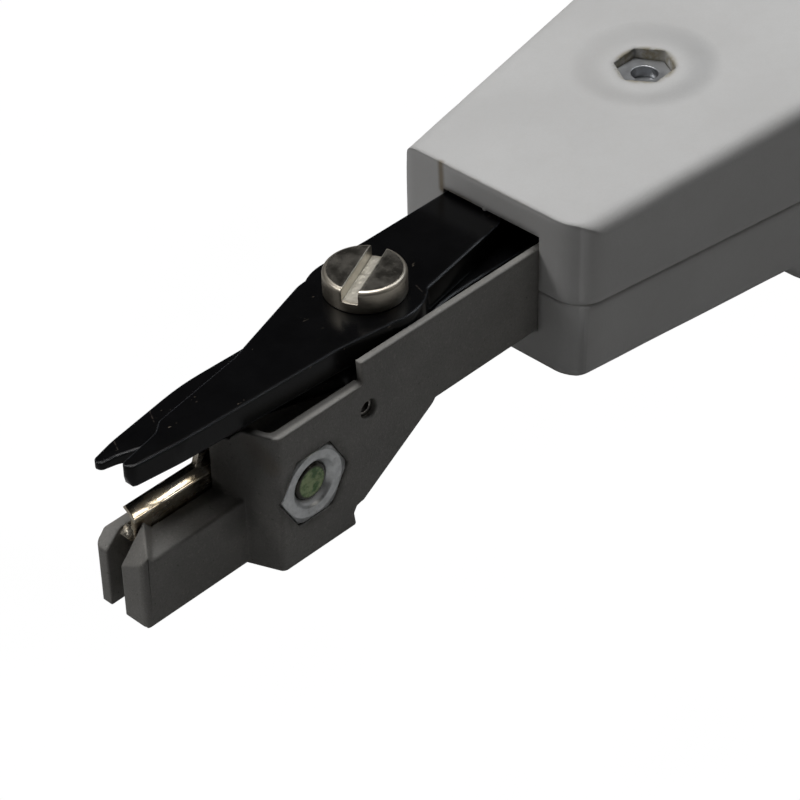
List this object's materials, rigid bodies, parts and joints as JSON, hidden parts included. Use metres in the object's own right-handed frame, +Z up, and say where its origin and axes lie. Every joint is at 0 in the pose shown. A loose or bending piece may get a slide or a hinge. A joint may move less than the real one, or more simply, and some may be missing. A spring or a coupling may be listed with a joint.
{
  "type": "punch down tool",
  "caption": "Hand tool that pushes a wire into a slotted terminal: sprung slotted head with crossing scissors in a two-shell handle with a fold-out hook and blade.",
  "frame": {"origin": "centre of the flat belly under the handle, on which the tool rests", "axes": "+X along the tool to the nose, +Y to the side with the hex nut, +Z up to the wide top face"},
  "size_m": [0.178, 0.0404, 0.0249],
  "materials": {
    "handle_plastic": "fine moulded grain, light warm grey",
    "head_plastic": "moulded, dark warm grey",
    "black_steel": "black oxide steel",
    "nickel": "nickel plated, bright",
    "zinc": "zinc plated steel",
    "spring_steel": "drawn spring wire",
    "tool_steel": "stamped stainless steel",
    "thread_lock": "cured green thread-lock",
    "white_plastic": "acetal, natural white"
  },
  "bodies": {
    "handle": {"upper_shell": "handle_plastic", "lower_shell": "handle_plastic", "shell_screws": "zinc", "shell_nuts": "zinc", "spring_seat": "white_plastic", "tool_pins": "zinc", "tool_springs": "spring_steel"},
    "head": {"head_body": "head_plastic", "pivot_screw": "nickel", "pivot_nut": "zinc", "thrust_washer": "zinc", "nose_screw": "nickel", "nose_nut": "zinc", "screw_seal": "thread_lock", "roll_pin": "spring_steel", "guide_rod": "zinc", "rod_clip": "spring_steel", "main_spring": "spring_steel", "scissor_spring": "spring_steel", "sensor_spring": "spring_steel"},
    "upper_scissor": {"upper_blade": "black_steel"},
    "lower_scissor": {"lower_blade": "black_steel"},
    "sensor": {"sensor_strip": "nickel"},
    "hook": {"wire_hook": "tool_steel"},
    "module_release": {"release_blade": "tool_steel"}
  },
  "joints": [
    {"name": "head_slide", "type": "slide", "parent": "handle", "child": "head", "axis": [-1, 0, 0], "range_m": [0, 0.008], "deforming": ["main_spring"]},
    {"name": "upper_scissor_swing", "type": "hinge", "parent": "head", "child": "upper_scissor", "pos_m": [0.095, -0.0005, 0.018], "axis": [0, 0, 1], "range_deg": [-2.81, 0], "deforming": ["scissor_spring"]},
    {"name": "lower_scissor_swing", "type": "hinge", "parent": "head", "child": "lower_scissor", "pos_m": [0.095, -0.0005, 0.016], "axis": [0, 0, 1], "range_deg": [0, 2.81], "deforming": ["scissor_spring"]},
    {"name": "sensor_slide", "type": "slide", "parent": "head", "child": "sensor", "axis": [-1, 0, 0], "range_m": [0, 0.0012], "deforming": ["sensor_spring"]},
    {"name": "hook_fold", "type": "hinge", "parent": "handle", "child": "hook", "pos_m": [-0.0435, 0.0152, 0.01375], "axis": [0, 0, 1], "range_deg": [0, 170]},
    {"name": "release_blade_fold", "type": "hinge", "parent": "handle", "child": "module_release", "pos_m": [-0.0435, -0.0152, 0.01375], "axis": [0, 0, -1], "range_deg": [0, 170]}
  ],
  "couplings": [
    {"joint": "upper_scissor_swing", "follows": "head_slide", "rad_per_m": -6.1086},
    {"joint": "lower_scissor_swing", "follows": "head_slide", "rad_per_m": 6.1086}
  ]
}
